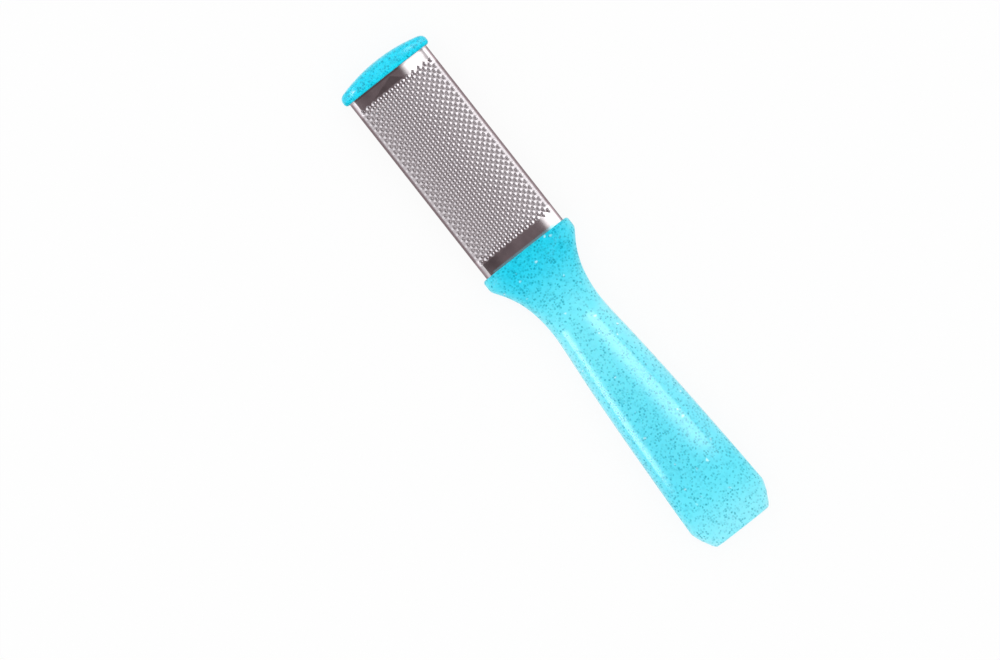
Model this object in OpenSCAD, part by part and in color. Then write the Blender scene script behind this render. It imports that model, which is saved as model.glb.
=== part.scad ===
// Foot file: a flared grip, a rasp head with a crowned plate on each side of a spar, and a cap on the tip.
// The tool lies flat along Y with its tip towards +Y, its width along X and its thickness along Z.
// The origin is on the surface that it lies on, under the middle of its box.

/* [Overall] */
// Length from the butt's flat end to the crown of the cap
total_l = 245; // [235:1:260]
// Thickness of the grip's mouth, of its belly and of the cap, which the tool lies on
grip_t = 16; // [15.5:0.5:18]

/* [Grip] */
// Length of the grip from its mouth to the flat end
grip_l = 145.7; // [140:0.1:150]
// Width of the mouth over its collar
mouth_w = 44.1; // [43.5:0.1:46]
// Length of the straight collar round the mouth
collar_l = 5; // [4:0.5:7]
// Width of the neck, the narrowest place
neck_w = 25; // [22:0.2:30]
// Thickness of the neck
neck_t = 13.6; // [12:0.1:15]
// Distance from the mouth to the neck
neck_at = 35; // [32:0.5:40]
// Greatest width of the butt
butt_w = 37.4; // [34:0.2:42]
// Length of the butt's cut corners
corner_l = 11.3; // [9:0.1:14]
// Width of the butt's flat end
end_w = 27.2; // [22:0.2:30]
// Thickness of the butt at its flat end, before the edge is rounded
end_t = 11; // [9:0.5:14]

/* [Rasp head] */
// Radius of the plates' crown across their width
crown_r = 62; // [56:1:70]
// Width of a plate over its rolled edges
plate_w = 40; // [39.8:0.1:40.6]
// Thickness of the stainless sheet
sheet_t = 0.6; // [0.4:0.05:0.7]
// Thickness of the head from crown to crown, without the nubs
head_t = 12.4; // [12:0.1:13]
// Outer radius of the rolled edges
roll_r = 1.4; // [1.3:0.05:1.6]
// How far the plates' ends sit inside the mouth
mouth_seat = 4; // [3:0.5:6]

/* [Nubs] */
// Columns of nubs across the coarse plate
coarse_columns = 13; // [11:2:13]
// Rows of nubs along the coarse plate
coarse_rows = 53; // [45:2:53]
// Height of a coarse nub
coarse_h = 0.65; // [0.4:0.05:0.8]
// Columns of nubs across the fine plate
fine_columns = 17; // [13:2:17]
// Rows of nubs along the fine plate
fine_rows = 69; // [59:2:69]
// Height of a fine nub
fine_h = 0.45; // [0.3:0.05:0.6]
// Plain polished band between the mouth and the first row of nubs
mouth_band = 6.8; // [5:0.2:9]
// Plain polished band between the last row of nubs and the cap
cap_band = 6; // [5:0.2:9]

/* [Cap] */
// Length of the cap from its flat inner face to its crown
cap_l = 7.7; // [7:0.1:9]
// Width of the cap
cap_w = 43.8; // [43.5:0.1:45]
// Radius of the shallow bow of the cap's crown, seen from above
cap_crown_r = 72; // [64:1:80]
// Radius of the cap's two corners, seen from above
cap_corner_r = 3; // [2.6:0.1:3.4]
// How far the plates' ends sit inside the cap
cap_seat = 2; // [1.5:0.5:2.5]
// Diameter of the cap's two pegs
peg_d = 4; // [3:0.5:5]
// Length of the pegs beyond the plates' ends
peg_l = 9; // [6:1:12]

/* [Hidden] */

grip_colour = [0.22, 0.87, 0.97];
steel_colour = [0.78, 0.78, 0.79];
core_colour = [0.80, 0.93, 0.95];

mid_z = grip_t / 2;
butt_y = -total_l / 2;
mouth_y = butt_y + grip_l;
cap_y = total_l / 2 - cap_l;

// The plates reach from the floor of the mouth's recess to the floor of the cap's recess.
plate_y0 = mouth_y - mouth_seat;
plate_y1 = cap_y + cap_seat;

// Gap round what is pushed into a recess
fit_gap = 0.1;
// Sides of a skinned ring
loft_sides = 48;

// Points of a cubic curve from a to d, pulled towards b and c, without its first point
function bezier(a, b, c, d, steps) = [for (i = [1:steps]) let (t = i / steps, u = 1 - t)
    u * u * u * a + 3 * u * u * t * b + 3 * u * t * t * c + t * t * t * d];

// Smooth change from v0 to v1 while s goes from s0 to s1
function ease(s, s0, s1, v0, v1) =
    let (t = min(max((s - s0) / (s1 - s0), 0), 1)) v0 + (v1 - v0) * t * t * (3 - 2 * t);

function signed_pow(v, p) = sign(v) * pow(abs(v), p);

// Closed oval ring at y: half width a, half thickness b, and squareness n, where 2 is an ellipse.
// Its four outermost sides lie flat at the stated size, so the tool has a narrow flat to lie on.
function oval(y, a, b, n) =
    let (p = 2 / n, size = 1 / pow(cos(180 / loft_sides), p))
    [for (i = [0:loft_sides - 1]) let (t = 360 * (i + 0.5) / loft_sides)
        [size * a * signed_pow(cos(t), p), y, mid_z + size * b * signed_pow(sin(t), p)]];

// Solid skinned over a list of rings that run towards +Y
module loft(rings) {
    m = len(rings[0]);
    last = (len(rings) - 1) * m;
    sides = [for (k = [0:m:last - 1], j = [0:m - 1]) let (a = k + j, b = k + (j + 1) % m)
        each [[a, b, a + m], [b, b + m, a + m]]];
    ends = [[for (j = [m - 1:-1:0]) j], [for (j = [0:m - 1]) last + j]];
    polyhedron([for (ring = rings) each ring], concat(sides, ends));
}

// Section profile drawn in X and height above the mid-plane, extruded from y0 to y1
module along(y0, y1) {
    translate([0, y1, mid_z]) rotate([90, 0, 0]) linear_extrude(height = y1 - y0) children();
}

// How far the rounded edges of the mouth and of the butt's end reach along the grip
lip = 1.2;
butt_edge = 0.8;
// Places on the grip's half outline: [distance from the mouth, half width]
half_mouth = mouth_w / 2;
half_end = end_w / 2;
corner_at = grip_l - corner_l;
collar_end = [collar_l * 0.7, half_mouth];
shoulder = [collar_l * 1.45, half_mouth - 1.4];
neck = [neck_at, neck_w / 2];
widest = [corner_at, butt_w / 2];
corner = [corner_at + corner_l * 0.5, butt_w / 2 - 1.7];

// The half outline: a rounded lip, the collar, the shoulder's fall to the neck, the slow flare, and a butt
// whose corners are cut in two facets
grip_outline = concat(
    [[0, half_mouth - lip], [lip * 0.1, half_mouth - lip * 0.55], [lip * 0.35, half_mouth - lip * 0.25],
     [lip, half_mouth - 0.05], collar_end],
    bezier(collar_end, [collar_l * 1.1, half_mouth], [collar_l * 1.2, half_mouth - 0.5], shoulder, 4),
    bezier(shoulder, [neck_at * 0.3, half_mouth - 3.4], [neck_at * 0.51, neck[1]], neck, 14),
    bezier(neck, [neck_at * 1.4, neck[1] + 0.5], [neck_at * 1.65, widest[1] - 3.2], widest, 14),
    bezier(widest, [corner_at + corner_l * 0.15, widest[1]], corner - [2.3, -0.8], corner, 4),
    [[grip_l - butt_edge, half_end + butt_edge * 0.8], [grip_l - butt_edge * 0.3, half_end + 0.1],
     [grip_l, half_end - butt_edge * 0.6]]
);

// Half thickness of the grip at a distance from the mouth. It thins over the shoulder, stays even past the
// neck, swells to the belly, and is bevelled at the butt.
waist_from = neck_at * 0.85;
waist_to = grip_l * 0.3;
belly_at = grip_l * 0.86;
bevel_at = grip_l - corner_l * 1.3;
function grip_half_t(d) =
    ease(d, collar_l, waist_from, grip_t, neck_t) / 2
    + ease(d, waist_to, belly_at, 0, grip_t - neck_t) / 2
    - pow(max(0, d - bevel_at) / (grip_l - bevel_at), 2) * (grip_t - end_t) / 2
    - max(0, lip - d) * 0.6 - max(0, d - grip_l + butt_edge) * 0.9;

// Squareness of the grip's section: full at the mouth round the head, lean at the neck, fuller to the end
function grip_square(d) = ease(d, collar_l, neck_at, 3, 2.3) + ease(d, neck_at, grip_l, 0, 0.5);

// Angle from the crown's middle to where the rolled edge begins, found from the plate's width
crown_half = asin((plate_w / 2 - roll_r) / (crown_r - roll_r));

// One side of the head's section from its right edge over the crown to its left edge, at a depth below the
// outer face. The crown is a fan of flat strips, one per column of nubs, so each nub stands on flat ground.
function head_side(columns, depth) =
    let (step = 2 * crown_half / columns, r = crown_r - depth, roll = roll_r - depth,
         low = head_t / 2 - crown_r,
         edge = (crown_r - roll_r) * [sin(crown_half), cos(crown_half)] + [0, low],
         right = [for (i = [5:-1:1]) let (t = crown_half + (90 - crown_half) * i / 5)
             edge + roll * [sin(t), cos(t)]],
         crown = [for (i = [0:columns]) let (t = crown_half - i * step)
             r / cos(step / 2) * [sin(t), cos(t)] + [0, low]])
    concat(right, crown, [for (i = [len(right) - 1:-1:0]) [-right[i][0], right[i][1]]]);

// Half the gap between the two plates' edges, where the spar's rail shows
rail = 0.4;
// How far the rail's edge stands back from the plates' edges
rail_in = 0.2;

module plate_section(columns) {
    outer = head_side(columns, 0);
    inner = head_side(columns, sheet_t);
    half = plate_w / 2;
    polygon(concat(
        [[half, rail]], outer, [[-half, rail], [sheet_t - half, rail]],
        [for (i = [len(inner) - 1:-1:0]) inner[i]], [[half - sheet_t, rail]]));
}

// Outline of the whole head, let out by a gap
module head_section(gap) {
    top = head_side(coarse_columns, -gap);
    under = head_side(fine_columns, -gap);
    polygon(concat(top, [for (i = [len(under) - 1:-1:0]) [under[i][0], -under[i][1]]]));
}

// Raised nub on the Z axis, its foot just below zero, with a punched pit in its tip if pit is over 0
module nub(foot_r, h, pit) {
    foot = 0.1;
    tip_r = foot_r * 0.72;
    hollow = [[tip_r * 0.75, h], [tip_r * 0.6, h - pit], [0, h - pit]];
    rotate_extrude($fn = 20)
        polygon(concat([[0, -foot], [foot_r, -foot], [tip_r, h]], pit > 0 ? hollow : [[0, h]]));
}

// Staggered field of nubs on the crown, with rows along the plate and one column on each flat strip
module nub_field(columns, rows, h, pit) {
    step = 2 * crown_half / columns;
    span = total_l - grip_l - cap_l - mouth_band - cap_band;
    pitch = span / (rows - 1);
    foot_r = pitch * 0.492;
    for (row = [0:rows - 1], col = [0:columns - 1 - row % 2])
        let (odd = row % 2, turn = (col + odd / 2 - (columns - 1) / 2) * step,
             r = odd == 1 ? crown_r / cos(step / 2) : crown_r)
            translate([0, mouth_y + mouth_band + row * pitch, mid_z + head_t / 2 - crown_r])
                rotate([0, turn, 0]) translate([0, 0, r]) nub(foot_r, h, pit);
}

module rasp_plate(columns, rows, h, pit) {
    union() {
        along(plate_y0, plate_y1) plate_section(columns);
        nub_field(columns, rows, h, pit);
    }
}

module coarse_plate() {
    color(steel_colour) rasp_plate(coarse_columns, coarse_rows, coarse_h, coarse_h * 0.5);
}

module fine_plate() {
    color(steel_colour) translate([0, 0, 2 * mid_z]) mirror([0, 0, 1])
        rasp_plate(fine_columns, fine_rows, fine_h, 0);
}

// Tongue of the spar, glued into the grip
tongue_w = 26;
tongue_t = 6;
tongue_l = 16;
// Distance of each of the cap's pegs from the middle
peg_x = plate_w * 0.22;

module block(w, y0, y1, t) {
    translate([-w / 2, y0, mid_z - t / 2]) cube([w, y1 - y0, t]);
}

// The two pegs, or what their holes remove
module peg_pair(d, y0, y1) {
    for (x = [-1, 1])
        translate([x * peg_x, y0, mid_z]) rotate([-90, 0, 0]) cylinder(d = d, h = y1 - y0, $fn = 48);
}

// Rounded window through the spar's full thickness
module window(x, y, w, l, r) {
    translate([x, y, 0]) {
        translate([-w / 2 + r, -l / 2, 0]) cube([w - 2 * r, l, grip_t]);
        translate([-w / 2, -l / 2 + r, 0]) cube([w, l - 2 * r, grip_t]);
        for (i = [-1, 1], j = [-1, 1])
            translate([i * (w / 2 - r), j * (l / 2 - r), 0]) cylinder(r = r, h = grip_t, $fn = 32);
    }
}

// Windows that lighten the spar, in two columns between webs
window_rows = 4;
window_r = 2.5;
web = 3;
window_w = (plate_w - 4 * web) / 2;
window_y0 = plate_y0 + 2 * web;
window_y1 = plate_y1 - peg_l - 2 * web;
window_l = (window_y1 - window_y0 - (window_rows - 1) * web) / window_rows;

module core_section() {
    top = head_side(coarse_columns, sheet_t);
    under = head_side(fine_columns, sheet_t);
    flat = plate_w / 2 - sheet_t;
    side = plate_w / 2 - rail_in;
    polygon(concat(
        [[flat, rail]], top, [[-flat, rail], [-side, rail], [-side, -rail], [-flat, -rail]],
        [for (i = [len(under) - 1:-1:0]) [under[i][0], -under[i][1]]],
        [[flat, -rail], [side, -rail], [side, rail]]));
}

module core() {
    color(core_colour) difference() {
        union() {
            along(plate_y0, plate_y1) core_section();
            block(tongue_w, plate_y0 - tongue_l, plate_y0 + 1, tongue_t);
        }
        for (x = [-1, 1], k = [0:window_rows - 1])
            window(x * (window_w + web) / 2, window_y0 + window_l / 2 + k * (window_l + web),
                   window_w, window_l, window_r);
        peg_pair(peg_d, plate_y1 - peg_l - fit_gap, plate_y1 + 1);
    }
}

module handle() {
    color(grip_colour) difference() {
        loft([for (i = [len(grip_outline) - 1:-1:0]) let (d = grip_outline[i][0])
            oval(mouth_y - d, grip_outline[i][1], grip_half_t(d), grip_square(d))]);
        along(plate_y0, mouth_y + 1) head_section(fit_gap);
        block(tongue_w + 2 * fit_gap, plate_y0 - tongue_l - fit_gap, plate_y0 + 1, tongue_t + 2 * fit_gap);
    }
}

// The cap's outline from above is a shallow bow between two round corners. The bow's arc ends at bow_end
// degrees from the middle, and the dome is as long as the bow and a corner are deep together.
bow_end = asin((cap_w / 2 - cap_corner_r) / (cap_crown_r - cap_corner_r));
bow_drop = cap_crown_r * (1 - cos(bow_end));
dome_l = cap_crown_r - (cap_crown_r - cap_corner_r) * cos(bow_end);

// Half width of the cap at a distance below the bow's top
function cap_half_w(drop) = drop < bow_drop
    ? sqrt(drop * (2 * cap_crown_r - drop))
    : cap_w / 2 - cap_corner_r + sqrt(pow(cap_corner_r, 2) - pow(max(dome_l - drop, 0), 2));

// The skirt's edge at the inner face is rounded, and the skirt is a little thinner there than at the dome's
// start, which gives the cap its pillow shape. The dome ends in a small flat on the crown.
skirt_edge = 0.6;
pillow = 0.4;
dome_steps = 10;
dome_end = 84;
cap_square = 2.6;
skirt = cap_l - dome_l * sin(dome_end);

// Ring of the skirt at a distance from the inner face, with its edge cut back
function skirt_ring(up, cut, thinner) =
    oval(cap_y + up, cap_w / 2 - cut, grip_t / 2 - thinner - cut, cap_square);

cap_rings = concat(
    [skirt_ring(0, skirt_edge, pillow),
     skirt_ring(skirt_edge * 0.3, skirt_edge * 0.3, pillow),
     skirt_ring(skirt_edge, 0, pillow),
     skirt_ring(skirt * 0.6, 0, pillow * 0.2)],
    [for (i = [0:dome_steps]) let (t = dome_end * i / dome_steps, rise = dome_l * sin(t))
        oval(cap_y + skirt + rise, cap_half_w(dome_l - rise), grip_t / 2 * pow(cos(t), 0.77), cap_square)]
);

module end_cap() {
    color(grip_colour) union() {
        difference() {
            loft(cap_rings);
            along(cap_y - 1, plate_y1) head_section(fit_gap);
        }
        peg_pair(peg_d, plate_y1 - peg_l, plate_y1 + 1);
    }
}

handle();
core();
coarse_plate();
fine_plate();
end_cap();
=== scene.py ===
# %% [markdown]
# # A double-sided foot file
# A foot file is a hand tool with a plastic grip, a flat head with a steel rasp sheet on each face, and a
# plastic cap that holds the sheets at the tip. This one is moulded in clear cyan plastic full of glitter,
# and its sheets are mirror-polished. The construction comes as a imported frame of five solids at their
# real size. Here the shapes that show get finer meshes that stand in the same places, and every surface
# gets its finish.

# %% Load the frame
import math
import bmesh
import bpy
import numpy as np
from mathutils import Matrix, Vector


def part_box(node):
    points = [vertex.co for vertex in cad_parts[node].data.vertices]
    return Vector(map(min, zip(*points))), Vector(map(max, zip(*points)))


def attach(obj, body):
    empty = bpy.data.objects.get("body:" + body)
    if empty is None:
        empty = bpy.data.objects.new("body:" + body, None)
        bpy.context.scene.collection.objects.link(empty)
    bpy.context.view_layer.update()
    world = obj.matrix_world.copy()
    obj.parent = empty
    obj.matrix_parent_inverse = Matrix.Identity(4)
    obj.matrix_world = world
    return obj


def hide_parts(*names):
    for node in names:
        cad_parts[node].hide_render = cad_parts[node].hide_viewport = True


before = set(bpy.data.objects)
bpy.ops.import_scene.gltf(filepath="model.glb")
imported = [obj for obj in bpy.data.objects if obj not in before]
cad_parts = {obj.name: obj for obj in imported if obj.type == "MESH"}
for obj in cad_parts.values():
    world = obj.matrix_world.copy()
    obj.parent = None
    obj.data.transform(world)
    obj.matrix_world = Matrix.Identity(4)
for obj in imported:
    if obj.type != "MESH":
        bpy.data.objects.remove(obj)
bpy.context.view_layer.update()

MM = 0.001
print("pieces in the frame:", sorted(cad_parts))

# %% [markdown]
# ## Sizes from the frame
# The finer meshes have to sit exactly where the solids are, so their main sizes are read from the frame
# and not typed again. A node's box is in metres, and this script counts in millimetres until a mesh is
# made, because the sizes of a hand tool are easy to judge that way.

# %% Read the main sizes, in millimetres
grip_lo, grip_hi = [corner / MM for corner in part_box("handle")]
cap_lo, cap_hi = [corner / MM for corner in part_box("end_cap")]
sheet_lo, sheet_hi = [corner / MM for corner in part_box("coarse_plate")]

BUTT_Y = grip_lo.y
MOUTH_Y = grip_hi.y
CROWN_Y = cap_hi.y
MID_Z = (grip_lo.z + grip_hi.z) / 2
GRIP_L = MOUTH_Y - BUTT_Y
GRIP_T = grip_hi.z - grip_lo.z
MOUTH_W = grip_hi.x - grip_lo.x
CAP_W = cap_hi.x - cap_lo.x
SHEET_W = sheet_hi.x - sheet_lo.x
SHEET_Y0 = sheet_lo.y
SHEET_Y1 = sheet_hi.y
print(f"grip {GRIP_L:.1f} mm long and {GRIP_T:.1f} mm thick, sheets {SHEET_W:.1f} mm wide")

# %% [markdown]
# ## The camera
# The photograph looks straight down on the tool, which lies askew. Two marks on the picture are enough to
# place the camera: the top of the cap and the end of the grip. The distance between them gives the scale,
# and their direction gives the camera's turn. A long lens from high up keeps the sides nearly parallel,
# as they are in the picture.

# %% Place the camera from two marks
IMAGE_W = 1000
IMAGE_H = 660
CROWN_PX = Vector((376.35, 60.40))
BUTT_PX = Vector((742.84, 526.78))
CAMERA_HEIGHT = 2.5
SENSOR = 36.0

tool_px = CROWN_PX - BUTT_PX
metres_per_px = (CROWN_Y - BUTT_Y) * MM / tool_px.length
tip_right = tool_px.x / tool_px.length
tip_up = -tool_px.y / tool_px.length
right = Vector((tip_up, tip_right, 0))
up = Vector((-tip_right, tip_up, 0))

middle_px = (CROWN_PX + BUTT_PX) / 2
shift_right = (IMAGE_W / 2 - middle_px.x) * metres_per_px
shift_up = (middle_px.y - IMAGE_H / 2) * metres_per_px
eye = right * shift_right + up * shift_up + Vector((0, 0, CAMERA_HEIGHT + MID_Z * MM))

camera_data = bpy.data.cameras.new("camera")
camera_data.sensor_width = SENSOR
camera_data.lens = SENSOR * CAMERA_HEIGHT / (IMAGE_W * metres_per_px)
camera = bpy.data.objects.new("camera", camera_data)
camera.matrix_world = Matrix.Translation(eye) @ Matrix((right, up, (0, 0, 1))).transposed().to_4x4()
bpy.context.scene.collection.objects.link(camera)
bpy.context.scene.camera = camera
bpy.context.scene.view_settings.view_transform = "Standard"
print(f"{metres_per_px / MM:.4f} mm per pixel, lens {camera_data.lens:.1f} mm")

# %% [markdown]
# ## From rings to a mesh
# The grip and the cap are both closed skins over a row of rings. Subdivision would round off the sharp
# places, so the rings are computed closely enough to look smooth by themselves. Each ring has the same
# number of points, so each pair of neighbours is joined by a band of four-sided faces, and the two ends
# are closed by one flat face each. Edges where the surface really turns are marked sharp, and the rest is
# shaded smooth.

# %% Make a piece from points and faces
SHARP_ANGLE = math.radians(38)
JOIN_WITHIN = 0.001 * MM


def make_piece(name, points, faces, node, slot, marks=None):
    """A mesh piece, given in millimetres, that stands for one node of the frame. Equal corners are
    joined, and a list of marks becomes the points' pit attribute."""
    mesh = bpy.data.meshes.new(name)
    mesh.from_pydata(np.asarray(points) * MM, [], faces)
    if marks is not None:
        mesh.attributes.new("pit", "FLOAT", "POINT").data.foreach_set("value", marks)
    work = bmesh.new()
    work.from_mesh(mesh)
    bmesh.ops.remove_doubles(work, verts=work.verts, dist=JOIN_WITHIN)
    bmesh.ops.recalc_face_normals(work, faces=work.faces)
    open_edges = sum(not edge.is_manifold for edge in work.edges)
    work.to_mesh(mesh)
    work.free()
    mesh.shade_smooth()
    mesh.set_sharp_from_angle(angle=SHARP_ANGLE)
    piece = bpy.data.objects.new(name, mesh)
    bpy.context.scene.collection.objects.link(piece)
    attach(piece, "root")
    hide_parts(node)
    print(f"{name}: {len(mesh.vertices)} points, {len(mesh.polygons)} faces, {open_edges} open edges")
    return piece


def skin(rings):
    """Points and faces of the closed skin over a list of rings."""
    size = len(rings[0])
    points = np.concatenate(rings)
    faces = []
    for ring in range(len(rings) - 1):
        start = ring * size
        for i in range(size):
            after = (i + 1) % size
            faces.append((start + i, start + after, start + size + after, start + size + i))
    faces.append(tuple(range(size - 1, -1, -1)))
    faces.append(tuple(range(len(points) - size, len(points))))
    return points, faces


# %% [markdown]
# ## The section of the head
# The head's section decides most of what follows: both sheets follow it, and the grip's mouth and the cap
# have a recess of the same outline. It is a shallow crown that ends in a rolled edge and a short upright
# side. The crown is an arc about a point far below, so an angle says where on it one is, and the roll
# starts where the arc's end direction turns into the upright one.

# %% Compute the head's outline
CROWN_R = 62.0
ROLL_R = 1.4
HEAD_T = 12.4
RAIL = 0.4
SHEET_T = 0.6
FIT_GAP = 0.1
CROWN_STEPS = 40
ROLL_STEPS = 8
SIDE_STEPS = 5

crown_half = math.asin((SHEET_W / 2 - ROLL_R) / (CROWN_R - ROLL_R))
crown_low = HEAD_T / 2 - CROWN_R


def crown_point(turn, depth=0.0):
    """Place on the crown at an angle from its middle, or below it: x and height over the middle plane."""
    r = CROWN_R - depth
    return np.stack([r * np.sin(turn), r * np.cos(turn) + crown_low], -1)


def roll_points(depth=0.0):
    """The right rolled edge, from the crown's end to the upright side."""
    turn = np.linspace(crown_half, math.pi / 2, ROLL_STEPS + 1)[1:]
    centre = np.array([math.sin(crown_half), math.cos(crown_half)]) * (CROWN_R - ROLL_R) + [0, crown_low]
    return centre + (ROLL_R - depth) * np.stack([np.sin(turn), np.cos(turn)], -1)


def head_outline(gap):
    """Closed outline of the whole head, let out by a gap, counter-clockwise from its right side."""
    crown = crown_point(np.linspace(0, crown_half, CROWN_STEPS + 1), -gap)
    edge = roll_points(-gap)
    side_z = np.linspace(edge[-1][1], 0, SIDE_STEPS + 1)[1:]
    side = np.stack([np.full(SIDE_STEPS, edge[-1][0]), side_z], -1)
    quarter = np.concatenate([crown, edge, side])[::-1]
    left = quarter[::-1][1:] * [-1, 1]
    lower_left = left[::-1][1:] * [1, -1]
    lower_right = quarter[::-1][1:-1] * [1, -1]
    return np.concatenate([quarter, left, lower_left, lower_right])


print("points on the head's outline:", len(head_outline(FIT_GAP)))

# %% [markdown]
# ## Oval rings
# The grip and the cap have oval sections that are a little squarer than an ellipse. Such an oval is two
# signed powers of a cosine and a sine. The rings have to meet the recess in the mouth without a twist, so
# every ring uses the directions of the points on the head's outline. One formula turns a direction into
# the angle that the oval needs.

# %% Compute an oval ring
recess = head_outline(FIT_GAP)


def oval(y, half_w, half_t, square):
    """Ring of an oval section at y, with one point for each point on the recess's outline."""
    x, z = recess.T
    slope = np.abs(z) / np.maximum(np.abs(x), 1e-9) * MOUTH_W / GRIP_T
    turn = np.arctan(slope ** (square / 2))
    power = 2 / square
    ring_x = np.sign(x) * half_w * np.cos(turn) ** power
    ring_z = np.sign(z) * half_t * np.sin(turn) ** power
    return np.stack([ring_x, np.full(len(recess), y), ring_z + MID_Z], -1)


def flat_ring(outline, y):
    """Ring that follows a drawn outline at y."""
    return np.stack([outline[:, 0], np.full(len(outline), y), outline[:, 1] + MID_Z], -1)


# %% [markdown]
# ## The grip
# The real grip is one moulding: a wide mouth with a straight collar, a shoulder that falls in an S to the
# neck, a slow flare, and a butt whose corners are cut in two facets. Its outline is drawn with seven
# curves, each pulled by two handles, because a few handles are easier to fit to a photograph than many
# points. The thickness follows its own smooth rule. The rings run from the butt to the mouth's lip, and
# go on inwards as the recess for the head.

# %% Draw the grip's outline
COLLAR_L = 5.0
LIP = 1.2
LIP_STEPS = 5
BUTT_EDGE = 0.8
NECK_W = 25.0
NECK_T = 13.6
NECK_AT = 35.0
BUTT_W = 37.4
CORNER_L = 11.3
END_W = 27.2
END_T = 11.0


def pulled_curve(a, b, c, d, steps):
    """Points of a curve from a to d that is pulled by the handles b and c, without its first point."""
    t = (np.arange(steps) + 1)[:, None] / steps
    u = 1 - t
    a, b, c, d = [np.array(p) for p in (a, b, c, d)]
    return u ** 3 * a + 3 * u * u * t * b + 3 * u * t * t * c + t ** 3 * d


def ease(s, s0, s1, v0, v1):
    """Smooth change from v0 to v1 while s goes from s0 to s1."""
    t = np.clip((s - s0) / (s1 - s0), 0, 1)
    return v0 + (v1 - v0) * t * t * (3 - 2 * t)


half_mouth = MOUTH_W / 2
half_end = END_W / 2
corner_at = GRIP_L - CORNER_L
collar_end = [COLLAR_L * 0.7, half_mouth]
shoulder = [COLLAR_L * 1.45, half_mouth - 1.4]
neck = [NECK_AT, NECK_W / 2]
widest = [corner_at, BUTT_W / 2]
corner = [corner_at + CORNER_L * 0.5, BUTT_W / 2 - 1.7]
end_corner = [GRIP_L - BUTT_EDGE, half_end + BUTT_EDGE * 0.8]

lip_turn = np.radians(np.linspace(0, 90, LIP_STEPS + 1))
lip_points = np.stack([LIP * (1 - np.sin(lip_turn)), half_mouth - LIP * (1 - np.cos(lip_turn))], -1)[::-1]
outline = np.concatenate([
    lip_points,
    pulled_curve(lip_points[-1], [LIP * 2, half_mouth], [COLLAR_L * 0.5, half_mouth], collar_end, 4),
    pulled_curve(collar_end, [COLLAR_L * 1.1, half_mouth], [COLLAR_L * 1.2, half_mouth - 0.5],
                 shoulder, 8),
    pulled_curve(shoulder, [NECK_AT * 0.3, half_mouth - 3.4], [NECK_AT * 0.51, neck[1]], neck, 26),
    pulled_curve(neck, [NECK_AT * 1.4, neck[1] + 0.5], [NECK_AT * 1.65, widest[1] - 3.2], widest, 36),
    pulled_curve(widest, [corner_at + CORNER_L * 0.15, widest[1]], [corner[0] - 2.3, corner[1] + 0.8],
                 corner, 8),
    pulled_curve(corner, [corner[0] + 1, corner[1] - 0.8], [end_corner[0] - 1, end_corner[1] + 0.9],
                 end_corner, 4),
    pulled_curve(end_corner, [GRIP_L - BUTT_EDGE * 0.4, half_end + BUTT_EDGE * 0.3],
                 [GRIP_L, half_end], [GRIP_L, half_end - BUTT_EDGE], 5),
])
print("rings on the grip:", len(outline))

# %% Give the grip its thickness and its mesh
WAIST_FROM = NECK_AT * 0.85
WAIST_TO = GRIP_L * 0.3
BELLY_AT = GRIP_L * 0.86
BEVEL_AT = GRIP_L - CORNER_L * 1.3
LIP_SLOPE = 0.6
END_SLOPE = 0.9
MOUTH_SQUARE = 3.0
NECK_SQUARE = 2.3
BUTT_GAIN = 0.5
TONGUE_W = 26.0
TONGUE_T = 6.0
TONGUE_L = 16.0


def grip_half_t(d):
    """Half the grip's thickness at a distance from its mouth."""
    bevel = np.clip((d - BEVEL_AT) / (GRIP_L - BEVEL_AT), 0, None)
    return (
        ease(d, COLLAR_L, WAIST_FROM, GRIP_T, NECK_T) / 2
        + ease(d, WAIST_TO, BELLY_AT, 0, GRIP_T - NECK_T) / 2
        - bevel ** 2 * (GRIP_T - END_T) / 2
        - np.clip(LIP - d, 0, None) * LIP_SLOPE
        - np.clip(d - GRIP_L + BUTT_EDGE, 0, None) * END_SLOPE
    )


def grip_square(d):
    """Squareness of the grip's section: full at the mouth, lean at the neck, fuller again to the end."""
    lean = ease(d, COLLAR_L, NECK_AT, MOUTH_SQUARE, NECK_SQUARE)
    return lean + ease(d, NECK_AT, GRIP_L, 0, BUTT_GAIN)


def boxed(points, half_w, half_t):
    """The outline's points moved out to a rectangle, each in its own direction."""
    reach = np.maximum(np.abs(points[:, 0]) / half_w, np.abs(points[:, 1]) / half_t)
    return points / reach[:, None]


tongue_hole = boxed(recess, TONGUE_W / 2 + FIT_GAP, TONGUE_T / 2 + FIT_GAP)
grip_rings = [oval(MOUTH_Y - d, half_w, grip_half_t(d), grip_square(d)) for d, half_w in outline[::-1]]
grip_rings += [
    flat_ring(recess, MOUTH_Y),
    flat_ring(recess, SHEET_Y0),
    flat_ring(tongue_hole, SHEET_Y0),
    flat_ring(tongue_hole, SHEET_Y0 - TONGUE_L - FIT_GAP),
]
grip = make_piece("grip", *skin(grip_rings), "handle", "grip_plastic")

# %% [markdown]
# ## The cap
# The cap closes the head's tip. From above it is a shallow bow between two round corners, so its half
# width at a place comes from the bow's arc or from a corner's. Below them a short skirt draws in towards
# the inner face, which rounds the cap's corners there. From the side it is a pillow: thickest near its
# middle, a little thinner at its inner face, and blunt at the tip. Inside are the same recess as in the
# grip, only shallower, and two pegs for the spar.

# %% Shape the cap
CAP_L = 7.7
BOW_R = 72.0
CORNER_R = 3.0
SKIRT_EDGE = 0.6
SKIRT_STEPS = 8
EDGE_STEPS = 4
CAP_TOP = 2.7
PILLOW = 0.4
BLUNT = 2.7
TIP_MARGIN = 0.01
DOME_STEPS = 28
DOME_END = 88.5
CAP_SQUARE = 3.0
PEG_D = 4.0
PEG_L = 9.0
PEG_AT = SHEET_W * 0.22
PEG_ROOT = 0.5
PEG_SIDES = 32

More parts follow.
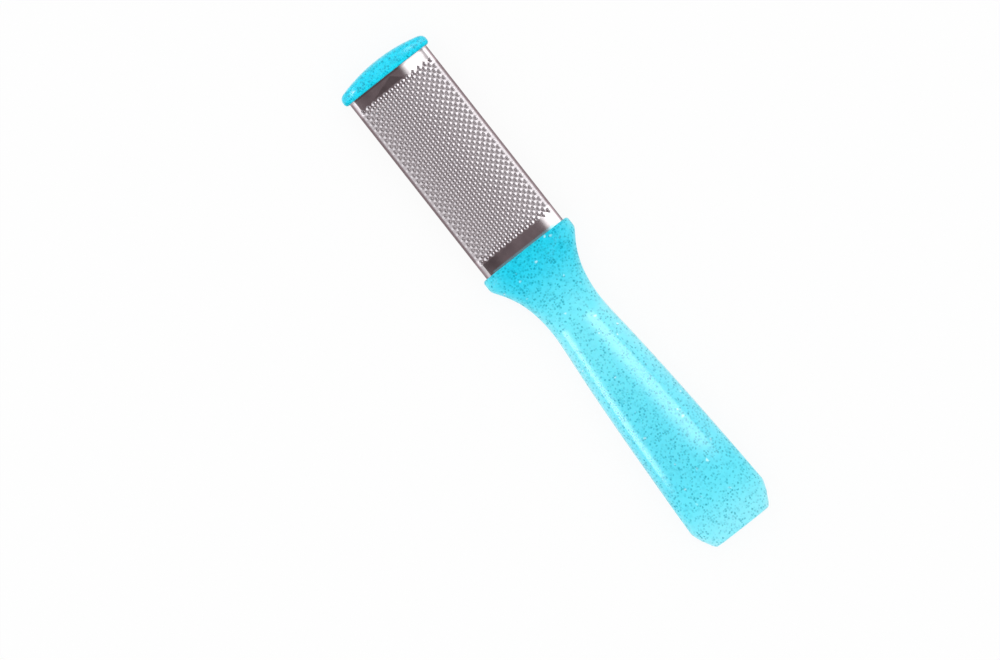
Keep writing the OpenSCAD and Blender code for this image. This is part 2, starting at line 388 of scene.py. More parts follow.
cap_y = CROWN_Y - CAP_L
bow_end = math.asin((CAP_W / 2 - CORNER_R) / (BOW_R - CORNER_R))
bow_drop = BOW_R * (1 - math.cos(bow_end))
dome_l = BOW_R - (BOW_R - CORNER_R) * math.cos(bow_end)
skirt = CAP_L - dome_l * math.sin(math.radians(DOME_END))
skirt_inset = CAP_W / 2 - SKIRT_EDGE - SHEET_W / 2 - FIT_GAP * 2


def cap_half_w(drop):
    """The cap's half width at a distance below the top of its bow."""
    if drop < bow_drop:
        return math.sqrt(drop * (2 * BOW_R - drop))
    return CAP_W / 2 - CORNER_R + math.sqrt(CORNER_R ** 2 - (dome_l - drop) ** 2)


def skirt_half_w(rise):
    """The half width of the cap's skirt, which draws in towards the inner face."""
    down = 1 - rise / skirt
    return CAP_W / 2 - skirt_inset * (1 - math.sqrt(1 - down ** 2))


def cap_half_t(rise):
    """The cap's half thickness at a distance from its inner face."""
    if rise < CAP_TOP:
        return GRIP_T / 2 - PILLOW * (1 - rise / CAP_TOP) ** 2
    share = (rise - CAP_TOP) / (CAP_L - CAP_TOP + TIP_MARGIN)
    return GRIP_T / 2 * (1 - share ** BLUNT) ** (1 / BLUNT)


cap_rings = []
for turn in np.radians(np.linspace(DOME_END, 0, DOME_STEPS + 1)):
    rise = skirt + dome_l * math.sin(turn)
    cap_rings.append(oval(cap_y + rise, cap_half_w(CAP_L - rise), cap_half_t(rise), CAP_SQUARE))
for rise in np.linspace(skirt, SKIRT_EDGE, SKIRT_STEPS)[1:]:
    cap_rings.append(oval(cap_y + rise, skirt_half_w(rise), cap_half_t(rise), CAP_SQUARE))
for turn in np.radians(np.linspace(0, 90, EDGE_STEPS + 1)[1:]):
    inset = SKIRT_EDGE * (1 - math.cos(turn))
    rise = SKIRT_EDGE * (1 - math.sin(turn))
    cap_rings.append(oval(cap_y + rise, skirt_half_w(rise) - inset, cap_half_t(rise) - inset, CAP_SQUARE))
cap_rings += [flat_ring(recess, cap_y), flat_ring(recess, SHEET_Y1)]
cap_points, cap_faces = skin(cap_rings[::-1])

peg_turn = np.arange(PEG_SIDES) * 2 * math.pi / PEG_SIDES
for side in (-1, 1):
    circle = np.stack([np.cos(peg_turn), np.sin(peg_turn)], -1) * PEG_D / 2 + [side * PEG_AT, 0]
    peg_rings = [flat_ring(circle, SHEET_Y1 + PEG_ROOT), flat_ring(circle, SHEET_Y1 - PEG_L)]
    peg_points, peg_faces = skin(peg_rings)
    first = len(cap_points)
    cap_points = np.concatenate([cap_points, peg_points])
    cap_faces += [tuple(first + corner for corner in face) for face in peg_faces]
cap = make_piece("cap", cap_points, cap_faces, "end_cap", "grip_plastic")

# %% [markdown]
# ## One nub
# Each nub is punched out of the sheet: a dome with a pierced pit in its top. The staggered rows put every
# nub in a diamond of its own, and those diamonds tile the sheet. So one nub is modelled as a patch of
# round rings whose last ring is the diamond, and the sheet becomes one continuous skin with no face
# hidden inside another. A mark on each point says how deep in the pit it is, which the steel's finish
# reads later to paint shade into the pits.

# %% Draw one nub's patch
def diamond(half_u, half_v, sides):
    """Points round a diamond, evenly spaced along its four edges, from its right corner."""
    quarter = sides // 4
    along = (np.arange(sides) % quarter / quarter)[:, None]
    corners = np.array([[half_u, 0], [0, half_v], [-half_u, 0], [0, -half_v]])
    edge = np.arange(sides) // quarter
    return corners[edge] * (1 - along) + corners[(edge + 1) % 4] * along


def nub_patch(profile, half_u, half_v, sides):
    """A nub on its diamond: places (u, v, height), faces and pit marks. The profile runs outwards as
    (radius, height, mark), and its first row is the point in the middle."""
    turn = np.arange(sides) * 2 * math.pi / sides
    circle = np.stack([np.cos(turn), np.sin(turn)], -1)
    flats = [circle * radius for radius, _, _ in profile[1:]] + [diamond(half_u, half_v, sides)]
    heights = [height for _, height, _ in profile[1:]] + [0]
    marks = [mark for _, _, mark in profile[1:]] + [0]
    rings = [np.column_stack([flat, np.full(sides, height)]) for flat, height in zip(flats, heights)]
    points = np.concatenate([[[0, 0, profile[0][1]]]] + rings)
    faces = [(0, 1 + i, 1 + (i + 1) % sides) for i in range(sides)]
    for ring in range(len(rings) - 1):
        start = 1 + ring * sides
        for i in range(sides):
            after = (i + 1) % sides
            faces.append((start + i, start + sides + i, start + sides + after, start + after))
    return points, faces, np.concatenate([[profile[0][2]], np.repeat(marks, sides)])


def blank_quarter(half_u, half_v, sides, quarter):
    """A quarter of a diamond that has no nub, as a fan from its middle."""
    first = quarter * sides // 4
    rim = diamond(half_u, half_v, sides)[[(first + i) % sides for i in range(sides // 4 + 1)]]
    points = np.column_stack([np.concatenate([[[0, 0]], rim]), np.zeros(sides // 4 + 2)])
    return points, [(0, i + 1, i + 2) for i in range(sides // 4)], np.zeros(len(points))


# %% [markdown]
# ## A rasp sheet
# A sheet is drawn flat first, with u across and v along, and then wrapped over the crown: u becomes an
# angle, and a height becomes a distance outwards. The nubs' diamonds fill the middle. Quarters of blank
# diamonds even out the zigzag round them, and plain grids make up the polished bands, the rolled edges,
# the back and the ends. They are all made as separate faces whose corners fall on the same places, and
# equal corners are joined at the end.

# %% Collect the parts of a skin
class Skin:
    """Parts of one skin: points, faces and marks that are added bit by bit."""

    def __init__(self):
        self.points = []
        self.faces = []
        self.marks = []
        self.size = 0

    def add(self, points, faces, marks):
        """Adds faces, given by places in points."""
        self.points.append(points)
        self.marks.append(marks)
        self.faces += [tuple(self.size + corner for corner in face) for face in faces]
        self.size += len(points)

    def add_grid(self, rows):
        """Adds the four-sided faces between rows of points."""
        rows = np.asarray(rows)
        high, wide = rows.shape[:2]
        faces = []
        for row in range(high - 1):
            for i in range(row * wide, row * wide + wide - 1):
                faces.append((i, i + 1, i + wide + 1, i + wide))
        self.add(rows.reshape(-1, 3), faces, np.zeros(high * wide))


def wrap(flat):
    """Places (u, v, height) of the flat drawing, wrapped over the crown."""
    turn = flat[:, 0] / CROWN_R
    r = CROWN_R + flat[:, 2]
    return np.column_stack([r * np.sin(turn), flat[:, 1], r * np.cos(turn) + crown_low])


# %% Build a sheet
MOUTH_BAND = 6.8
CAP_BAND = 6.0
BAND_STEPS = 3


def edge_profile(depth):
    """The section's right end, from the crown's end over the roll to the foot of the upright side."""
    roll = roll_points(depth)
    return np.concatenate([[crown_point(crown_half, depth)], roll, [[roll[-1][0], RAIL]]])


def raise_to(section, y):
    """A drawn section of x and height, as points at y."""
    return np.column_stack([section[:, 0], np.full(len(section), y), section[:, 1]])


def rasp_sheet(columns, rows, profile, sides):
    """A rasp sheet with its nubs, face up, with heights over the middle plane."""
    half_u = CROWN_R * crown_half / columns
    first_v = MOUTH_Y + MOUTH_BAND
    half_v = (cap_y - CAP_BAND - first_v) / (rows - 1)
    sheet = Skin()

    points, faces, marks = nub_patch(profile, half_u, half_v, sides)
    for row in range(rows):
        for column in range(columns - row % 2):
            u = (2 * column + row % 2 - columns + 1) * half_u
            sheet.add(wrap(points + [u, first_v + row * half_v, 0]), faces, marks)

    for row in range(-1, rows + 1, 2):
        outer_row = row in (-1, rows)
        for column in range(columns + 1) if outer_row else (0, columns):
            for quarter in range(4):
                inside_u = column > 0 if quarter in (1, 2) else column < columns
                inside_v = row < rows if quarter < 2 else row > -1
                if inside_u and inside_v:
                    points, faces, marks = blank_quarter(half_u, half_v, sides, quarter)
                    place = [(2 * column - columns) * half_u, first_v + row * half_v, 0]
                    sheet.add(wrap(points + place), faces, marks)

    lower = np.linspace(SHEET_Y0, first_v - half_v, BAND_STEPS + 1)
    upper = np.linspace(first_v + rows * half_v, SHEET_Y1, BAND_STEPS + 1)
    turn = np.linspace(crown_half, -crown_half, 2 * columns + 1)
    for lines in (lower, upper):
        sheet.add_grid([raise_to(crown_point(turn), y) for y in lines])

    outer = edge_profile(0)
    inner = edge_profile(SHEET_T)
    lining = crown_point(turn, SHEET_T)[1:-1]
    back = np.concatenate([outer, inner[::-1], lining, inner * [-1, 1], outer[::-1] * [-1, 1]])
    lines = np.concatenate([lower, first_v + np.arange(rows) * half_v, upper])
    sheet.add_grid([raise_to(back, y) for y in lines])

    for y in (SHEET_Y0, SHEET_Y1):
        section = [np.concatenate([edge[::-1], crown_point(turn, depth)[1:-1], edge * [-1, 1]])
                   for edge, depth in ((outer, 0), (inner, SHEET_T))]
        sheet.add_grid([raise_to(part, y) for part in section])
    return np.concatenate(sheet.points), sheet.faces, np.concatenate(sheet.marks)


# %% Make both sheets
COARSE_NUB = [(0, 0.10, 1), (0.20, 0.11, 1), (0.26, 0.30, 0.5), (0.32, 0.345, 0), (0.42, 0.335, 0),
              (0.56, 0.295, 0), (0.85, 0.115, 0), (0.97, 0.035, 0), (1.05, 0, 0)]
FINE_NUB = [(0, -0.05, 1), (0.17, 0.40, 0.3), (0.28, 0.45, 0), (0.55, 0.24, 0), (0.80, 0, 0)]
COARSE_COLUMNS = 13
COARSE_ROWS = 53
FINE_COLUMNS = 17
FINE_ROWS = 69
NUB_SIDES = 16

points, faces, marks = rasp_sheet(COARSE_COLUMNS, COARSE_ROWS, COARSE_NUB, NUB_SIDES)
face_up = points + [0, 0, MID_Z]
coarse = make_piece("coarse_sheet", face_up, faces, "coarse_plate", "rasp_steel", marks)
points, faces, marks = rasp_sheet(FINE_COLUMNS, FINE_ROWS, FINE_NUB, NUB_SIDES)
face_down = points * [1, 1, -1] + [0, 0, MID_Z]
fine = make_piece("fine_sheet", face_down, faces, "fine_plate", "rasp_steel", marks)

# %% [markdown]
# ## Writing a finish as maths
# A finish is a network of small nodes. Laid out by hand it is hard to read, so here a wire of the network
# is wrapped in a small class with Python's own operators: an expression such as 1 - depth * 2 adds the
# Math nodes that it needs. Every other kind of node comes from one method, which takes the node's type,
# its settings and what goes into its sockets. The kinds that are needed most have short names of their
# own: the parts of a place, noise, a smooth ramp and a mix of two colours. The Mix node has sockets of
# one name for several kinds of value, so its colour sockets are told apart by their numbers.

# %% Wrap a wire of the node network
MIX_FACTOR = 0
MIX_UNDER = 6
MIX_OVER = 7
MIX_COLOUR = 2


class Wire:
    """One output of a node. Its operators add Math nodes, and add() any other node."""

    def __init__(self, tree, socket=None):
        self.tree = tree
        self.socket = socket

    def add(self, kind, settings=None, sockets=None, out=0):
        """Adds a node: first its settings, then values or wires for its sockets. Gives one output."""
        node = self.tree.nodes.new(kind)
        for name, value in (settings or {}).items():
            setattr(node, name, value)
        for name, value in (sockets or {}).items():
            if isinstance(value, Wire):
                self.tree.links.new(value.socket, node.inputs[name])
            else:
                node.inputs[name].default_value = value
        return Wire(self.tree, node.outputs[out])

    def out(self, name):
        """Another output of the same node."""
        return Wire(self.tree, self.socket.node.outputs[name])

    def math(self, operation, *values):
        """A Math node on this wire and other values."""
        return self.add("ShaderNodeMath", {"operation": operation}, dict(enumerate((self,) + values)))

    def __add__(self, other):
        return self.math("ADD", other)

    __radd__ = __add__

    def __sub__(self, other):
        return self.math("SUBTRACT", other)

    def __rsub__(self, other):
        return self.math("MULTIPLY_ADD", -1.0, other)

    def __mul__(self, other):
        return self.math("MULTIPLY", other)

    __rmul__ = __mul__

    def __truediv__(self, other):
        return self.math("DIVIDE", other)

    def __pow__(self, other):
        return self.math("POWER", other)

    def __abs__(self):
        return self.math("ABSOLUTE")

    def parts(self):
        """The X, Y and Z of this place."""
        x = self.add("ShaderNodeSeparateXYZ", None, {"Vector": self}, out="X")
        return x, x.out("Y"), x.out("Z")

    def noise(self, scale, detail):
        """Noise at this place, from 0 to 1."""
        sockets = {"Vector": self, "Scale": scale, "Detail": detail}
        return self.add("ShaderNodeTexNoise", None, sockets, out="Fac")

    def ramp(self, low, high):
        """0 below low, 1 above high and smooth between. With low over high it falls instead."""
        falls = low > high
        sockets = {"Value": self, "From Min": min(low, high), "From Max": max(low, high)}
        rise = self.add("ShaderNodeMapRange", {"interpolation_type": "SMOOTHSTEP"}, sockets)
        return 1 - rise if falls else rise

    def mix(self, under, over):
        """Colour that goes from under to over as this wire goes from 0 to 1."""
        sockets = {MIX_FACTOR: self, MIX_UNDER: under, MIX_OVER: over}
        return self.add("ShaderNodeMix", {"data_type": "RGBA"}, sockets, out=MIX_COLOUR)


def new_finish(name):
    """A material with one Principled shader: the material, a wire to start from and the shader's node."""
    material = bpy.data.materials.new(name)
    material.use_nodes = True
    tree = material.node_tree
    return material, Wire(tree), tree.nodes["Principled BSDF"]


def plug(shader, name, value):
    """Sets a socket of the shader, or links a wire into it."""
    if isinstance(value, Wire):
        value.tree.links.new(value.socket, shader.inputs[name])
    else:
        shader.inputs[name].default_value = value


# %% [markdown]
# ## Glitter plastic
# The grip and the cap are clear cyan plastic with glitter stirred in. The plastic is deeper in colour
# where it is thick, and in the grip's mouth, where the shade of the spar's tongue through the plastic is
# painted in. It is palest along the thin edges and at the butt, where light that passes through is
# painted in. Glitter flakes lie at all depths. Modelled one by one they would be thousands of small
# meshes, so they
# are part of the finish: a pattern of cells fills the space, each cell has one random centre, and a flake
# shows where the surface passes close to it. The place is first bent by a noise as fine as the flakes, so
# that they come out ragged, and each cell has a strength of its own, because real flakes are not all seen
# face on. Three sizes of them are laid over each other: dark flakes near the surface, larger and fainter
# ones that lie deeper, and a few pale ones, which are painted glints. The gloss comes from a clear coat
# alone, because a second reflection from the colour below it would wash the colour out.

# %% Scatter the glitter
# Dark flakes are the glitter's own colour; the pale ones are painted glints.
DARK_FLAKE = (0.001, 0.290, 0.400, 1)
GLINT_FLAKE = (0.720, 0.960, 1.000, 1)
NEAR_FLAKES = (1.0 * MM, 0.48 * MM, 0.0)
SUNK_FLAKES = (1.7 * MM, 0.85 * MM, 0.31)
GLINT_FLAKES = (3.0 * MM, 0.55 * MM, 0.77)
FLAKE_END = 1.5
FLAKE_FULL = 0.3
FAINTEST = 0.35
FAINT_RANGE = 0.9


def glitter(place, flakes, share):
    """Mask of the flakes that the surface meets. flakes gives spacing, radius and shift, in metres."""
    spacing, radius, shift = flakes
    ragged = place.noise(1 / spacing, 2.0).out("Color")
    bent = place.add("ShaderNodeVectorMath", {"operation": "MULTIPLY_ADD"},
                     {0: ragged, 1: (spacing, spacing, spacing), 2: place}, out="Vector")
    moved = place.add("ShaderNodeVectorMath", {"operation": "ADD"},
                      {0: bent, 1: (shift, shift, shift)}, out="Vector")
    cells = place.add("ShaderNodeTexVoronoi", None,
                      {"Vector": moved, "Scale": 1 / spacing}, out="Distance")
    chance = place.add("ShaderNodeSeparateColor", None, {"Color": cells.out("Color")}, out="Red")
    edge = radius / spacing
    faint = chance.out("Green") * FAINT_RANGE + FAINTEST
    return cells.ramp(edge * FLAKE_END, edge * FLAKE_FULL) * chance.math("LESS_THAN", share) * faint


# %% Mix the glitter plastic
DEEP_CYAN = (0.008, 0.620, 0.820, 1)
CLEAR_CYAN = (0.180, 0.790, 0.905, 1)
PALE_CYAN = (0.480, 0.880, 0.965, 1)
PLASTIC_CLOUD = 160.0
LIGHT_REACH = 3 * MM


def glitter_plastic(name, tones, coat_roughness):
    """Clear cyan plastic with flakes. tones(x, y, z) gives how deep and how pale its colour is, and how
    much clear coat it has."""
    material, start, shader = new_finish(name)
    place = start.add("ShaderNodeTexCoord", out="Object")
    deep, pale, gloss = tones(*place.parts())
    cloud = place.noise(PLASTIC_CLOUD, 3.0) - 0.5
    body = (deep + cloud * 0.25).math("MAXIMUM", 0).math("MINIMUM", 1).mix(CLEAR_CYAN, DEEP_CYAN)
    body = (pale + cloud * 0.15).math("MAXIMUM", 0).mix(body, PALE_CYAN)

    dark = glitter(place, NEAR_FLAKES, deep * 0.35 + 0.45)
    sunk = glitter(place, SUNK_FLAKES, deep * 0.30 + 0.55)
    # Pale flakes painted as glints.
    light = glitter(place, GLINT_FLAKES, deep * 0.14 + 0.08)
    colour = (sunk * (deep * 0.14 + 0.09)).mix(body, DARK_FLAKE)
    colour = (dark * (deep * 0.14 + 0.62)).mix(colour, DARK_FLAKE)
    plug(shader, "Base Color", (light * 0.75).mix(colour, GLINT_FLAKE))
    plug(shader, "Roughness", 0.35 - light * 0.15)
    plug(shader, "Specular IOR Level", 0.0)
    plug(shader, "Subsurface Weight", 0.25)
    plug(shader, "Subsurface Radius", (0.4, 1.0, 1.2))
    plug(shader, "Subsurface Scale", LIGHT_REACH)
    plug(shader, "Coat Weight", gloss)
    plug(shader, "Coat Roughness", coat_roughness)
    print(f"{name}: {len(start.tree.nodes)} nodes")
    return material


# %% Finish the grip and the cap
def grip_tones(x, y, z):
    """The grip is deepest in colour at its mouth, with the painted shade of the spar's tongue, less so in
    its thick belly, and palest at its edges and butt, with painted light through the plastic. Its
    shoulder and its butt are less glossy than the part that the hand polishes."""
    along = MOUTH_Y * MM - y
    # Painted shade of the spar's tongue, seen through the plastic at the mouth.
    mouth = along.ramp(38 * MM, 2 * MM) * (1 - abs(x).ramp(11 * MM, 23 * MM) * 0.5)
    belly = along.ramp(40 * MM, 95 * MM) * along.ramp(150 * MM, 112 * MM) * 0.35
    # Painted light through the thin edges and the butt.
    thin = abs(z - MID_Z * MM).ramp(6.0 * MM, 1.0 * MM)
    butt = along.ramp(124 * MM, 146 * MM)
    gloss = along.ramp(35 * MM, 38.5 * MM) * along.ramp(124 * MM, 104 * MM) * 0.9 + 0.1
    return mouth.math("MAXIMUM", belly) * 0.93, (butt * 0.3 + thin * 0.5).math("MINIMUM", 1), gloss


def cap_tones(x, y, z):
    """The cap is deep in colour all over, and a little paler round its thin rim, with painted light
    through the plastic.
    """
    # Painted light through the thin rim.
    thin = abs(z - MID_Z * MM).ramp(4.0 * MM, 0.5 * MM)
    gloss = y.ramp((cap_y + 1.2) * MM, (cap_y + 1.9) * MM) * 0.9 + 0.1
    return 0.98 - thin * 0.3, thin * 0.3, gloss


grip.data.materials.append(glitter_plastic("grip_glitter_plastic", grip_tones, 0.08))
cap.data.materials.append(glitter_plastic("cap_glitter_plastic", cap_tones, 0.22))

# %% [markdown]
# ## Polished steel
# The sheets are polished stainless steel. A mirror has no colour of its own to speak of, so its life
# comes from small things. The plain bands get dark reflections painted into their colour: one hill under
# the cap, one dark corner at the mouth and faint patches over both. The nubs are duller than the bands,
# apart from the outermost rows. The rolled edges are duller than the face, and darker and browner, partly
# as a tint of the cut edge and partly as a painted reflection of the dim room. The pits get painted
# shade, and a line of painted shadow lies where a band meets the cap. Another line, thin and pale blue,
# lies along
# the mouth: a painted reflection of the grip in the sheet. Fine lines along the sheet make its gloss a
# little uneven.

# %% Finish the rasp sheets
# Beside plain steel: the edges' tint and painted reflection, the pits' painted shade, the bands' painted
# dark reflection and the painted reflection of the grip.
STEEL = (0.70, 0.68, 0.69, 1)
EDGE_TINT_AND_REFLECTION = (0.245, 0.190, 0.200, 1)
SHADED_STEEL = (0.34, 0.32, 0.33, 1)
REFLECTED_DARK = (0.10, 0.09, 0.09, 1)
GRIP_REFLECTION_TINT = (0.50, 0.90, 0.98, 1)
EDGE_AT = SHEET_W / 2 - ROLL_R
FIELD_Y0 = MOUTH_Y + MOUTH_BAND
FIELD_Y1 = cap_y - CAP_BAND
NUB_EDGE = 0.9
BAND_FROM = 1.4
DULL_FROM = 2.2
EDGE_BLEND = (-0.1, 0.8)
CAP_SHADE_LINE = (1.1, 0.5)
HILL_AT = (0.3, cap_y - 1.0)
HILL_SLOPES = (0.87, -0.33)
HILL_BLUR = (-0.3, 0.5)
HILL_DARK = 0.42
CORNER_AT = (-9.5, -12.5)
CORNER_DARK = 0.35
PATCH_SCALE = 190.0
PATCH_DARK = 0.8
LIP_LINE = (1.3, 0.6)
LIP_ENDS = (17, 15)
LINE_SCALE = 2500.0
LINE_ROUGH = 0.04
BAND_ROUGH = 0.06
EDGE_ROUGH = 0.2
NUB_ROUGH = 0.31


def polished_steel():
    """Polished steel sheet with painted dark reflections on its bands, duller nubs and edges, and
    painted shade in its pits.
    """
    material, start, shader = new_finish("polished_steel")
    place = start.add("ShaderNodeTexCoord", out="Object")
    x, y, _ = place.parts()
    pit = start.add("ShaderNodeAttribute", {"attribute_name": "pit"}, out="Fac")
    edge = abs(x).ramp((EDGE_AT + EDGE_BLEND[0]) * MM, (EDGE_AT + EDGE_BLEND[1]) * MM)
    # A line of painted shadow on the band just below the cap's inner face.
    cap_shade = y.ramp((cap_y - CAP_SHADE_LINE[0]) * MM, (cap_y - CAP_SHADE_LINE[1]) * MM)
    upper = y.ramp((FIELD_Y1 + NUB_EDGE) * MM, (FIELD_Y1 + BAND_FROM) * MM)
    lower = y.ramp((FIELD_Y0 - NUB_EDGE) * MM, (FIELD_Y0 - BAND_FROM) * MM)

    # Painted dark reflections on the bands: a hill under the cap, a corner at the mouth, faint patches.
    past = x - HILL_AT[0] * MM
    ridge = (past * HILL_SLOPES[0]).math("MAXIMUM", past * HILL_SLOPES[1])
    hill = (HILL_AT[1] * MM - ridge - y).ramp(HILL_BLUR[0] * MM, HILL_BLUR[1] * MM) * upper
    corner = x.ramp(CORNER_AT[0] * MM, CORNER_AT[1] * MM) * lower
    patches = place.noise(PATCH_SCALE, 3.0)
    painted_reflection = hill * HILL_DARK + corner * CORNER_DARK + (patches - 0.4) * (upper + lower) * PATCH_DARK
    reflected_steel = painted_reflection.mix(STEEL, REFLECTED_DARK)
    # A thin pale blue line along the mouth: a painted reflection of the grip in the sheet.
    lip = y.ramp((MOUTH_Y + LIP_LINE[0]) * MM, (MOUTH_Y + LIP_LINE[1]) * MM)
    lip *= abs(x).ramp(LIP_ENDS[0] * MM, LIP_ENDS[1] * MM)
    # The rolled edges darken and turn browner: partly a tint of the cut edge, partly a painted
    # reflection.
    tinted = lip.mix(edge.mix(reflected_steel, EDGE_TINT_AND_REFLECTION), GRIP_REFLECTION_TINT)
    # The pits and the line under the cap get painted shade.
    plug(shader, "Base Color", pit.math("MAXIMUM", cap_shade * 0.7).mix(tinted, SHADED_STEEL))
    plug(shader, "Metallic", 1 - lip * 0.15)

    stretch = place.add("ShaderNodeMapping", None, {"Vector": place, "Scale": (1, 0.05, 1)})
    lines = stretch.noise(LINE_SCALE, 2.0)
    inner_rows = y.ramp((FIELD_Y0 + NUB_EDGE) * MM, (FIELD_Y0 + DULL_FROM) * MM)
    inner_rows *= y.ramp((FIELD_Y1 - NUB_EDGE) * MM, (FIELD_Y1 - DULL_FROM) * MM)
    rough = (lines - 0.5) * LINE_ROUGH + BAND_ROUGH + edge * EDGE_ROUGH + inner_rows * NUB_ROUGH
    plug(shader, "Roughness", rough)
    print(f"polished_steel: {len(start.tree.nodes)} nodes")
    return material


steel = polished_steel()
coarse.data.materials.append(steel)
fine.data.materials.append(steel)

# %% [markdown]
# ## The spar
# The spar between the sheets shows only as a thin line along each side of the head. It is plain moulded
# plastic, so it gets a pale matt colour with a fine moulded grain.

# %% Finish the spar
SPAR_DEEP = (0.50, 0.76, 0.81, 1)
SPAR_PALE = (0.62, 0.84, 0.88, 1)
GRAIN_SCALE = 1800.0
GRAIN_DEPTH = 0.03 * MM


def moulded_plastic():
    """Pale matt moulded plastic."""
    material, start, shader = new_finish("moulded_plastic")
    place = start.add("ShaderNodeTexCoord", out="Object")
    grain = place.noise(GRAIN_SCALE, 3.0)
    cloud = place.noise(60.0, 2.0)
    bump = {"Height": grain, "Strength": 0.3, "Distance": GRAIN_DEPTH}
    plug(shader, "Base Color", cloud.mix(SPAR_DEEP, SPAR_PALE))
    plug(shader, "Roughness", grain * 0.2 + 0.4)
    plug(shader, "Normal", start.add("ShaderNodeBump", None, bump, out="Normal"))
    print(f"moulded_plastic: {len(start.tree.nodes)} nodes")
    return material


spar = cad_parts["core"]
spar.data.materials.clear()
spar.data.materials.append(moulded_plastic())

# %% [markdown]
# ## The floor
# The picture has a plain white ground. A white floor by itself renders as light grey wherever it gets
# less than full light, and more light would wash out the tool. So the floor also glows, but only for the
# camera and for reflections: the ground comes out white, and a part of the tool's own soft shadow is
# kept.

# %% Lay the floor
FLOOR_HALF = 3.0
FLOOR_GLOW = 0.9
PAPER = (0.92, 0.92, 0.92, 1)

floor_mesh = bpy.data.meshes.new("floor")
floor_mesh.from_pydata([(-FLOOR_HALF, -FLOOR_HALF, 0), (FLOOR_HALF, -FLOOR_HALF, 0),
                        (FLOOR_HALF, FLOOR_HALF, 0), (-FLOOR_HALF, FLOOR_HALF, 0)], [], [(0, 1, 2, 3)])
floor = bpy.data.objects.new("floor", floor_mesh)
bpy.context.scene.collection.objects.link(floor)

paper, start, shader = new_finish("white_paper")
plug(shader, "Base Color", PAPER)
plug(shader, "Roughness", 1.0)
plug(shader, "Specular IOR Level", 0.0)
path = start.add("ShaderNodeLightPath", out="Is Camera Ray")
seen = path.math("MAXIMUM", path.out("Is Glossy Ray")).math("MAXIMUM", path.out("Is Transmission Ray"))
glow = start.add("ShaderNodeEmission", None, {"Strength": 1.0})
surface = start.add("ShaderNodeMixShader", None,
                    {0: seen * FLOOR_GLOW, 1: Wire(start.tree, shader.outputs[0]), 2: glow})
start.tree.links.new(surface.socket, start.tree.nodes["Material Output"].inputs["Surface"])
floor_mesh.materials.append(paper)
print(f"floor: {2 * FLOOR_HALF:.0f} m square")

# %% [markdown]
# ## The lamps
# A soft box is brightest in its middle and fades at its edges, and a polished surface shows that. A plain
# area lamp is equally bright all over, so its reflection would end in a hard line. Here each lamp's
# strength fades towards its edges by its own coordinates. The sheets, the cap and the grip each have a
# lamp on the right and one on the left, which lights nothing else, as if it were screened off. This is
# called light linking. Each is placed by the angles at which its light comes down, because those say
# where its reflection falls on a round form.

# %% Hang the lamps
LAMP_HEIGHT = 0.9


def soft_lamp(name, pieces, angles, span, radiance, fade, slant=0.0, blur=0.0):
    """Soft lamp for some pieces, between two angles from straight up towards +X, and two places along Y
    in metres. fade gives the shares of its size over which its light fades: at its first, second, lower
    and upper edge. slant takes away from its first edge towards the grip, and blur softens its second
    edge towards the cap."""
    near, far = [LAMP_HEIGHT * math.tan(math.radians(angle)) for angle in angles]
    data = bpy.data.lights.new(name, "AREA")
    data.shape = "RECTANGLE"
    data.size = far - near
    data.size_y = span[1] - span[0]
    data.energy = radiance * math.pi * data.size * data.size_y
    data.use_nodes = True
    start = Wire(data.node_tree)
    place = start.add("ShaderNodeNewGeometry", out="Parametric")
    u, v, _ = place.parts()
    far_edge = ((1 - u) / (v * blur + fade[1])).ramp(0, 1)
    across = (u - (1 - v) * slant).ramp(0, fade[0]) * far_edge
    along = v.ramp(0, fade[2]) * v.ramp(1, 1 - fade[3])
    strength = data.node_tree.nodes["Emission"].inputs["Strength"]
    data.node_tree.links.new((across * along).socket, strength)
    lamp = bpy.data.objects.new(name, data)
    lamp.location = ((near + far) / 2, sum(span) / 2, LAMP_HEIGHT)
    bpy.context.scene.collection.objects.link(lamp)
    lit = bpy.data.collections.new(name + "_lights")
    for piece in pieces:
        lit.objects.link(piece)
    lamp.light_linking.receiver_collection = lit
    print(f"{name}: {data.size:.2f} by {data.size_y:.2f} m, {data.energy:.2f} W")


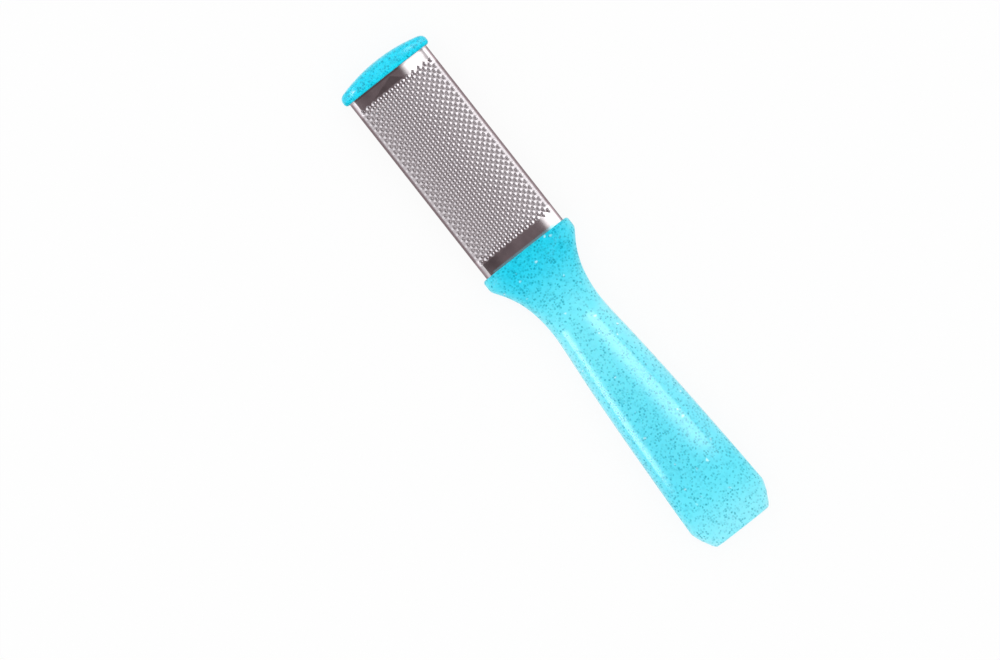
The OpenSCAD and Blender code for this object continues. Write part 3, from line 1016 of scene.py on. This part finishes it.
head = [coarse, fine]
head_span = (0.027, 0.170)
soft_lamp("head_lamp_right", head, (7.9, 35.3), head_span, 2.2, (0.30, 0.02, 0.04, 0.04),
          slant=0.515, blur=0.25)
soft_lamp("head_lamp_left", head, (-36.1, -33.2), head_span, 1.25, (0.3, 0.3, 0.04, 0.04))
soft_lamp("cap_lamp_right", [cap], (11, 33), (0.080, 0.700), 4.5, (0.35, 0.35, 0.3, 0.5))
soft_lamp("cap_lamp_left", [cap], (-40, -30), (-0.100, 1.500), 7.0, (0.4, 0.4, 0.15, 0.3))
soft_lamp("grip_lamp_right", [grip], (-1.2, 36.1), (-0.135, 0.016), 5.4, (0.4, 0.4, 0.5, 0.06))
soft_lamp("grip_lamp_left", [grip], (-61.6, -23), (-0.100, 0.060), 5.8, (0.4, 0.4, 0.5, 0.08))

# %% [markdown]
# ## The room
# What polished steel shows most is the room. Straight above the tool the room is dark and slightly warm,
# with soft uneven tones. From about 35 degrees outwards it is bright along the tool's two long sides, the
# right one more than the left, and dimmer beyond its ends. Only reflections see that. For plain shading
# the room is one even white, and the camera sees pure white.

# %% Set the world
ROOM_LIGHT = 1.0
LEFT_LIGHT = (1.28, 1.24, 1.28, 1)
RIGHT_LIGHT = (1.95, 1.90, 1.95, 1)
END_LIGHT = (0.38, 0.345, 0.36, 1)
CEILING_DARK = (0.150, 0.114, 0.122, 1)
CEILING_PALE = (0.240, 0.190, 0.200, 1)
SIDE_FROM = 0.72
SIDE_FULL = 0.97
CEILING_FROM = math.cos(math.radians(36.5))
CEILING_TO = math.cos(math.radians(33.0))

world = bpy.data.worlds.new("studio")
world.use_nodes = True
bpy.context.scene.world = world
start = Wire(world.node_tree)
direction = start.add("ShaderNodeTexCoord", out="Generated")
across_part, _, up_part = direction.parts()
level_part = (1.001 - up_part * up_part) ** 0.5
sideways = abs(across_part) / level_part
tones = direction.noise(3.0, 1.0)
ceiling = tones.ramp(0.2, 0.8).mix(CEILING_DARK, CEILING_PALE)
sides = across_part.ramp(-0.2, 0.2).mix(LEFT_LIGHT, RIGHT_LIGHT)
walls = sideways.ramp(SIDE_FROM, SIDE_FULL).mix(END_LIGHT, sides)
around = up_part.ramp(CEILING_FROM, CEILING_TO).mix(walls, ceiling)
path = start.add("ShaderNodeLightPath", out="Is Camera Ray")
shown = path.out("Is Glossy Ray").mix((ROOM_LIGHT, ROOM_LIGHT, ROOM_LIGHT, 1), around)
shown = path.math("MAXIMUM", path.out("Is Transmission Ray")).mix(shown, (1, 1, 1, 1))
world.node_tree.nodes["Background"].inputs["Strength"].default_value = 1.0
world.node_tree.links.new(shown.socket, world.node_tree.nodes["Background"].inputs["Color"])
print("room light", ROOM_LIGHT, "and", len(world.node_tree.nodes), "nodes in the world")
